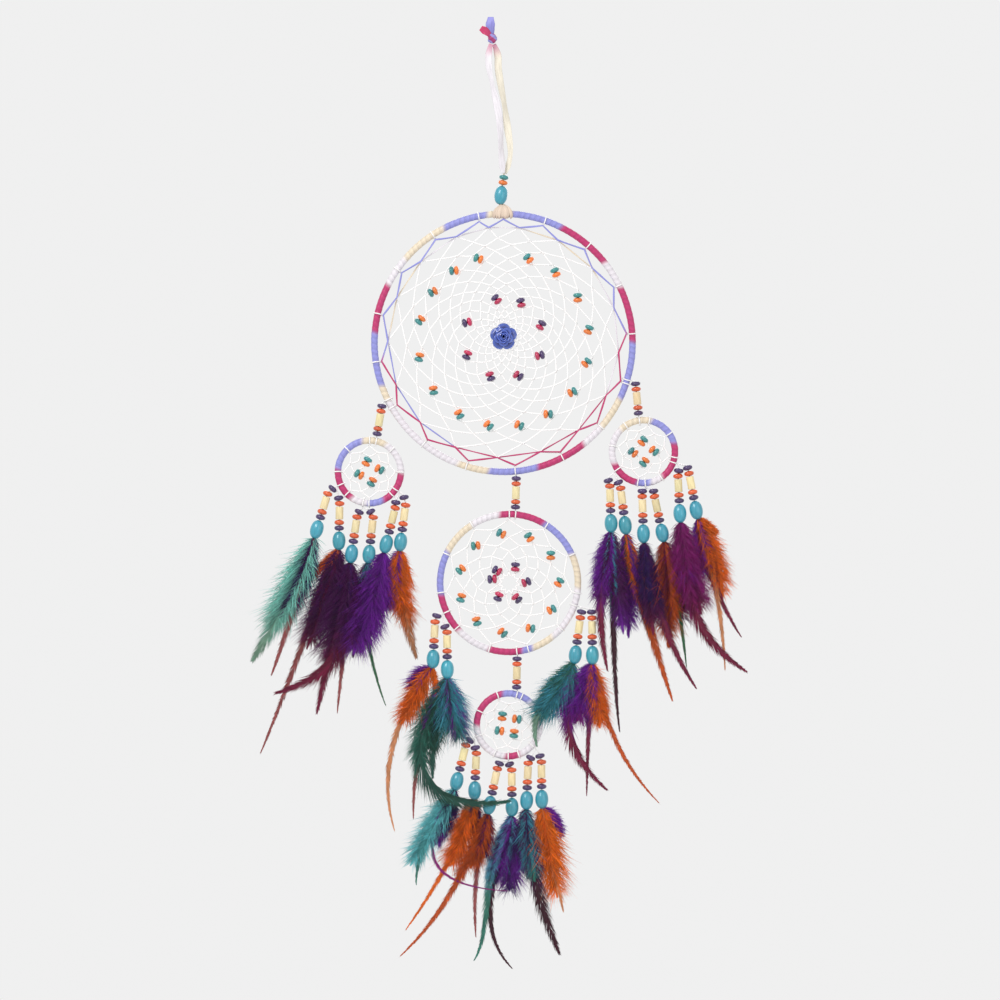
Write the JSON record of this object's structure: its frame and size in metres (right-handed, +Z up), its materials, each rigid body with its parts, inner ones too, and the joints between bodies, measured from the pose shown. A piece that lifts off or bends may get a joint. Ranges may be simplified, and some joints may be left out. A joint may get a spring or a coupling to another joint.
{
  "type": "dream catcher",
  "caption": "Hanging dream catcher: thread nets in ribbon-wrapped hoops, strung with wooden beads, with dyed feather tassels and a ribbon hanging loop.",
  "frame": {"origin": "the nail point inside the hanging loop, just under its knot", "axes": "+Z up along the hanging length, -Y out of the front face, +X to the right as seen from the front"},
  "size_m": [0.4107, 0.0252, 0.7946],
  "materials": {
    "cane": "raw cane, matt",
    "dyed_ribbon": "space-dyed satin ribbon, periwinkle, magenta, cream and white",
    "cream_ribbon": "cream satin ribbon",
    "net_thread": "white waxed thread",
    "bead_purple": "stained and lacquered wood",
    "bead_orange": "stained and lacquered wood",
    "bead_cream": "pale lacquered wood",
    "bead_turquoise": "stained and lacquered wood",
    "bead_teal": "stained and lacquered wood",
    "bead_magenta": "stained and lacquered wood",
    "rose_resin": "moulded resin, satin gloss",
    "feather": "dyed down and hackle feathers"
  },
  "bodies": {
    "hanging_loop": {"hanging_ribbon_left": "cream_ribbon", "hanging_ribbon_right": "cream_ribbon", "ribbon_knot": "cream_ribbon", "ribbon_tails": "dyed_ribbon"},
    "hanger_discs": {"hanger_teal_disc": "bead_teal", "hanger_orange_disc": "bead_orange"},
    "hanger_oval": {"hanger_oval_bead": "bead_turquoise"},
    "large_hoop": {"large_ring": "cane", "large_wrap": "dyed_ribbon", "large_web": "net_thread", "large_lace": "dyed_ribbon", "large_bow": "cream_ribbon", "large_outer_beads": "bead_teal", "large_inner_beads": "bead_magenta", "rose": "rose_resin"},
    "medium_hoop": {"medium_ring": "cane", "medium_wrap": "dyed_ribbon", "medium_web": "net_thread", "medium_outer_beads": "bead_teal", "medium_inner_beads": "bead_magenta"},
    "left_hoop": {"left_ring": "cane", "left_wrap": "dyed_ribbon", "left_web": "net_thread", "left_web_beads": "bead_teal"},
    "right_hoop": {"right_ring": "cane", "right_wrap": "dyed_ribbon", "right_web": "net_thread", "right_web_beads": "bead_teal"},
    "bottom_hoop": {"bottom_ring": "cane", "bottom_wrap": "dyed_ribbon", "bottom_web": "net_thread", "bottom_web_beads": "bead_teal"},
    "left_connector": {"left_connector_beads": "bead_cream"},
    "right_connector": {"right_connector_beads": "bead_cream"},
    "medium_connector": {"medium_connector_beads": "bead_cream"},
    "bottom_connector": {"bottom_connector_beads": "bead_cream"},
    "left_tassel_1": {"left_tassel_1_beads": "bead_cream", "left_tassel_1_feathers": "feather"},
    "left_tassel_2": {"left_tassel_2_beads": "bead_cream", "left_tassel_2_feathers": "feather"},
    "left_tassel_3": {"left_tassel_3_beads": "bead_cream", "left_tassel_3_feathers": "feather"},
    "right_tassel_1": {"right_tassel_1_beads": "bead_cream", "right_tassel_1_feathers": "feather"},
    "right_tassel_2": {"right_tassel_2_beads": "bead_cream", "right_tassel_2_feathers": "feather"},
    "right_tassel_3": {"right_tassel_3_beads": "bead_cream", "right_tassel_3_feathers": "feather"},
    "medium_tassel_1": {"medium_tassel_1_beads": "bead_cream", "medium_tassel_1_feathers": "feather"},
    "medium_tassel_2": {"medium_tassel_2_beads": "bead_cream", "medium_tassel_2_feathers": "feather"},
    "bottom_tassel_1": {"bottom_tassel_1_beads": "bead_cream", "bottom_tassel_1_feathers": "feather"},
    "bottom_tassel_2": {"bottom_tassel_2_beads": "bead_cream", "bottom_tassel_2_feathers": "feather"},
    "bottom_tassel_3": {"bottom_tassel_3_beads": "bead_cream", "bottom_tassel_3_feathers": "feather"}
  },
  "joints": [
    {"name": "loop_sway", "type": "hinge", "parent": "hanging_loop", "child": "hanger_discs", "pos_m": [0.0091, 0, -0.1054], "axis": [0, 1, 0], "range_deg": [-15, 15]},
    {"name": "bead_nod", "type": "hinge", "parent": "hanger_discs", "child": "hanger_oval", "pos_m": [0.0079, 0, -0.1148], "axis": [1, 0, 0], "range_deg": [-15, 15]},
    {"name": "large_twist", "type": "hinge", "parent": "hanger_oval", "child": "large_hoop", "pos_m": [0.0087, 0, -0.132], "axis": [0, 0, 1], "range_deg": [-60, 60]},
    {"name": "left_swing", "type": "hinge", "parent": "large_hoop", "child": "left_connector", "pos_m": [-0.08731, 0, -0.29295], "axis": [1, 0, 0], "range_deg": [-20, 20]},
    {"name": "left_twist", "type": "hinge", "parent": "left_connector", "child": "left_hoop", "pos_m": [-0.09717, 0, -0.32707], "axis": [0, 0, 1], "range_deg": [-30, 30]},
    {"name": "right_swing", "type": "hinge", "parent": "large_hoop", "child": "right_connector", "pos_m": [0.11134, 0, -0.2761], "axis": [1, 0, 0], "range_deg": [-20, 20]},
    {"name": "right_twist", "type": "hinge", "parent": "right_connector", "child": "right_hoop", "pos_m": [0.12122, 0, -0.30996], "axis": [0, 0, 1], "range_deg": [-30, 30]},
    {"name": "medium_swing", "type": "hinge", "parent": "large_hoop", "child": "medium_connector", "pos_m": [0.01934, 0, -0.35207], "axis": [1, 0, 0], "range_deg": [-15, 15]},
    {"name": "medium_twist", "type": "hinge", "parent": "medium_connector", "child": "medium_hoop", "pos_m": [0.01848, 0, -0.38794], "axis": [0, 0, 1], "range_deg": [-20, 20]},
    {"name": "bottom_swing", "type": "hinge", "parent": "medium_hoop", "child": "bottom_connector", "pos_m": [0.01997, 0, -0.50171], "axis": [1, 0, 0], "range_deg": [-15, 15]},
    {"name": "bottom_twist", "type": "hinge", "parent": "bottom_connector", "child": "bottom_hoop", "pos_m": [0.01949, 0, -0.53743], "axis": [0, 0, 1], "range_deg": [-10, 10]},
    {"name": "left_tassel_1_swing", "type": "hinge", "parent": "left_hoop", "child": "left_tassel_1", "pos_m": [-0.12633, 0, -0.36346], "axis": [1, 0, 0], "range_deg": [-20, 25]},
    {"name": "left_tassel_2_swing", "type": "hinge", "parent": "left_hoop", "child": "left_tassel_2", "pos_m": [-0.10758, 0, -0.37822], "axis": [1, 0, 0], "range_deg": [-25, 25]},
    {"name": "left_tassel_3_swing", "type": "hinge", "parent": "left_hoop", "child": "left_tassel_3", "pos_m": [-0.08086, 0, -0.36704], "axis": [1, 0, 0], "range_deg": [-25, 20]},
    {"name": "right_tassel_1_swing", "type": "hinge", "parent": "right_hoop", "child": "right_tassel_1", "pos_m": [0.10365, 0, -0.35096], "axis": [1, 0, 0], "range_deg": [-20, 25]},
    {"name": "right_tassel_2_swing", "type": "hinge", "parent": "right_hoop", "child": "right_tassel_2", "pos_m": [0.12654, 0, -0.36185], "axis": [1, 0, 0], "range_deg": [-25, 25]},
    {"name": "right_tassel_3_swing", "type": "hinge", "parent": "right_hoop", "child": "right_tassel_3", "pos_m": [0.1495, 0, -0.34451], "axis": [1, 0, 0], "range_deg": [-25, 25]},
    {"name": "medium_tassel_1_swing", "type": "hinge", "parent": "medium_hoop", "child": "medium_tassel_1", "pos_m": [-0.0385, 0, -0.46916], "axis": [1, 0, 0], "range_deg": [-25, 25]},
    {"name": "medium_tassel_2_swing", "type": "hinge", "parent": "medium_hoop", "child": "medium_tassel_2", "pos_m": [0.06754, 0, -0.46305], "axis": [1, 0, 0], "range_deg": [-25, 25]},
    {"name": "bottom_tassel_1_swing", "type": "hinge", "parent": "bottom_hoop", "child": "bottom_tassel_1", "pos_m": [-0.01155, 0, -0.5725], "axis": [1, 0, 0], "range_deg": [-25, 25]},
    {"name": "bottom_tassel_2_swing", "type": "hinge", "parent": "bottom_hoop", "child": "bottom_tassel_2", "pos_m": [0.01287, 0, -0.5887], "axis": [1, 0, 0], "range_deg": [-25, 25]},
    {"name": "bottom_tassel_3_swing", "type": "hinge", "parent": "bottom_hoop", "child": "bottom_tassel_3", "pos_m": [0.03262, 0, -0.57934], "axis": [1, 0, 0], "range_deg": [-25, 20]}
  ]
}
